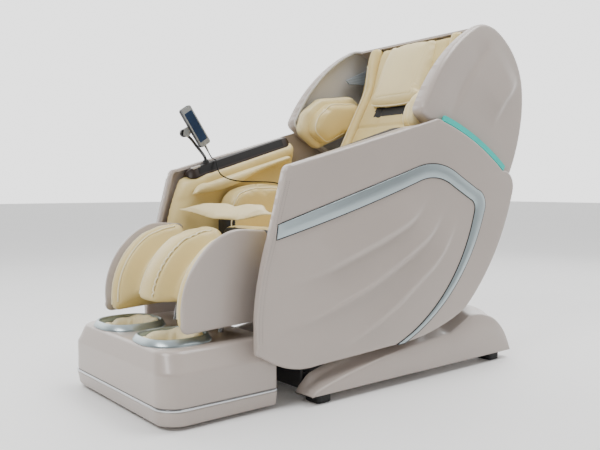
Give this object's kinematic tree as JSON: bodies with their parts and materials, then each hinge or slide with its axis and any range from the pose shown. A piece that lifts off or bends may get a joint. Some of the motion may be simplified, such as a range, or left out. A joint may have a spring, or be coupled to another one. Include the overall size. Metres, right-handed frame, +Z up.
{
  "type": "massage chair",
  "caption": "Full-body massage recliner: base, tilting seat between side shells, reclining hooded back, lifting calf rest with sliding foot box, armrests and a remote on a gooseneck.",
  "frame": {"origin": "on the floor, at the centre of the footprint measured without the remote cable", "axes": "+Z up, -Y the way the sitter faces (the foot box), +X the sitter's left"},
  "size_m": [0.85, 1.65, 1.3514],
  "materials": {
    "shell": "satin moulded",
    "silver_trim": "satin silver paint",
    "chrome_trim": "satin chrome",
    "led_lens": "frosted light strip",
    "leather": "soft padded leather",
    "liner": "soft cloth",
    "dark_gloss": "gloss",
    "key": "satin",
    "black_plastic": "moulded",
    "rubber": "matte",
    "cable_jacket": "matte",
    "steel_frame": "black powder coat",
    "steel_rod": "ground",
    "roller": "matte",
    "screen": "gloss",
    "plywood": "plain",
    "speaker_mesh": "perforated"
  },
  "bodies": {
    "base": {"base_frame": "steel_frame", "base_cover_left": "shell", "base_cover_right": "shell", "base_feet": "rubber", "base_front_panel": "black_plastic", "power_box": "black_plastic", "control_box": "black_plastic", "air_pump": "black_plastic"},
    "seat": {"seat_frame": "steel_frame", "seat_pan": "plywood", "seat_pad": "leather", "seat_flap": "leather", "side_shell_left": "shell", "side_shell_right": "shell", "shell_trims": "silver_trim", "led_strips": "led_lens", "arm_pad_left": "leather", "arm_pad_right": "leather", "arm_tops": "dark_gloss", "arm_flap_left": "leather", "arm_flap_right": "leather", "hip_cushion_left": "leather", "hip_cushion_right": "leather", "seat_rear_cover": "black_plastic", "gooseneck": "black_plastic", "cable_socket": "black_plastic", "remote_cable": "cable_jacket"},
    "key": {"arm_key": "key"},
    "tilt_cylinder": {"tilt_cylinder": "black_plastic"},
    "tilt_rod": {"tilt_rod": "steel_rod"},
    "recline_cylinder": {"recline_cylinder": "black_plastic"},
    "recline_rod": {"recline_rod": "steel_rod"},
    "leg_cylinder": {"leg_cylinder": "black_plastic"},
    "leg_rod": {"leg_rod": "steel_rod"},
    "back": {"back_frame": "steel_frame", "back_cover": "shell", "hood_left": "shell", "hood_right": "shell", "back_pad": "leather", "head_pillow": "leather", "shoulder_pad_left": "leather", "shoulder_pad_right": "leather", "speakers": "speaker_mesh"},
    "carriage": {"massage_carriage": "steel_frame"},
    "massage_arms": {"massage_arms": "steel_frame"},
    "upper_rollers": {"upper_rollers": "roller"},
    "lower_rollers": {"lower_rollers": "roller"},
    "leg": {"leg_frame": "steel_frame", "calf_shell_left": "shell", "calf_shell_right": "shell", "calf_pad": "leather"},
    "foot": {"foot_frame": "steel_frame", "foot_box": "shell", "foot_skirt": "shell", "foot_trim": "chrome_trim", "foot_rings": "silver_trim", "foot_liners": "liner"},
    "foot_rollers": {"foot_rollers": "roller"},
    "remote": {"remote_body": "black_plastic", "remote_screen": "screen"}
  },
  "joints": [
    {"name": "seat_tilt", "type": "hinge", "parent": "base", "child": "seat", "pos_m": [0, 0.48, 0.2], "axis": [-1, 0, 0], "range_deg": [0, 20]},
    {"name": "back_recline", "type": "hinge", "parent": "seat", "child": "back", "pos_m": [0, 0.26, 0.43], "axis": [-1, 0, 0], "range_deg": [0, 30]},
    {"name": "leg_lift", "type": "hinge", "parent": "seat", "child": "leg", "pos_m": [0, -0.415, 0.505], "axis": [-1, 0, 0], "range_deg": [0, 75]},
    {"name": "foot_extend", "type": "slide", "parent": "leg", "child": "foot", "axis": [0, -0.1736, -0.9848], "range_m": [0, 0.15]},
    {"name": "foot_roller_spin", "type": "hinge", "parent": "foot", "child": "foot_rollers", "pos_m": [0, -0.69, 0.096], "axis": [1, 0, 0], "continuous": true},
    {"name": "carriage_travel", "type": "slide", "parent": "back", "child": "carriage", "axis": [0, 0.5, 0.866], "range_m": [-0.2, 0.25]},
    {"name": "massage_knead", "type": "hinge", "parent": "carriage", "child": "massage_arms", "pos_m": [0, 0.46026, 0.79141], "axis": [-1, 0, 0], "range_deg": [-4, 4]},
    {"name": "upper_roller_spin", "type": "hinge", "parent": "massage_arms", "child": "upper_rollers", "pos_m": [0, 0.48592, 0.89784], "axis": [1, 0, 0], "continuous": true},
    {"name": "lower_roller_spin", "type": "hinge", "parent": "massage_arms", "child": "lower_rollers", "pos_m": [0, 0.38092, 0.71598], "axis": [1, 0, 0], "continuous": true},
    {"name": "remote_tilt", "type": "hinge", "parent": "seat", "child": "remote", "pos_m": [0, -0.341, 0.918], "axis": [1, 0, 0], "range_deg": [0, 20], "deforming": ["remote_cable"]},
    {"name": "key_press", "type": "slide", "parent": "seat", "child": "key", "axis": [0, 0.2926, -0.9562], "range_m": [0, 0.0015], "stiffness_N_per_m": 400, "springref_m": -0.0006},
    {"name": "tilt_cylinder_swing", "type": "hinge", "parent": "base", "child": "tilt_cylinder", "pos_m": [0, 0.06, 0.062], "axis": [-1, 0, 0], "range_deg": [-0.7, 0]},
    {"name": "tilt_rod_stroke", "type": "slide", "parent": "tilt_cylinder", "child": "tilt_rod", "axis": [0, 0.3892, 0.9211], "range_m": [0, 0.1195]},
    {"name": "recline_cylinder_swing", "type": "hinge", "parent": "seat", "child": "recline_cylinder", "pos_m": [0, 0, 0.36], "axis": [-1, 0, 0], "range_deg": [0, 6.1]},
    {"name": "recline_rod_stroke", "type": "slide", "parent": "recline_cylinder", "child": "recline_rod", "axis": [0, 0.9973, 0.0738], "range_m": [-0.0354, 0]},
    {"name": "leg_cylinder_swing", "type": "hinge", "parent": "seat", "child": "leg_cylinder", "pos_m": [0, -0.16, 0.345], "axis": [-1, 0, 0], "range_deg": [0, 7.8]},
    {"name": "leg_rod_stroke", "type": "slide", "parent": "leg_cylinder", "child": "leg_rod", "axis": [0, -0.9351, 0.3544], "range_m": [0, 0.0614]}
  ],
  "couplings": [
    {"joint": "tilt_cylinder_swing", "follows": "seat_tilt", "ratio": -0.0317},
    {"joint": "tilt_rod_stroke", "follows": "seat_tilt", "m_per_rad": 0.3367},
    {"joint": "recline_cylinder_swing", "follows": "back_recline", "ratio": 0.2009},
    {"joint": "recline_rod_stroke", "follows": "back_recline", "m_per_rad": -0.0638},
    {"joint": "leg_cylinder_swing", "follows": "leg_lift", "ratio": 0.1037},
    {"joint": "leg_rod_stroke", "follows": "leg_lift", "m_per_rad": 0.0454}
  ]
}
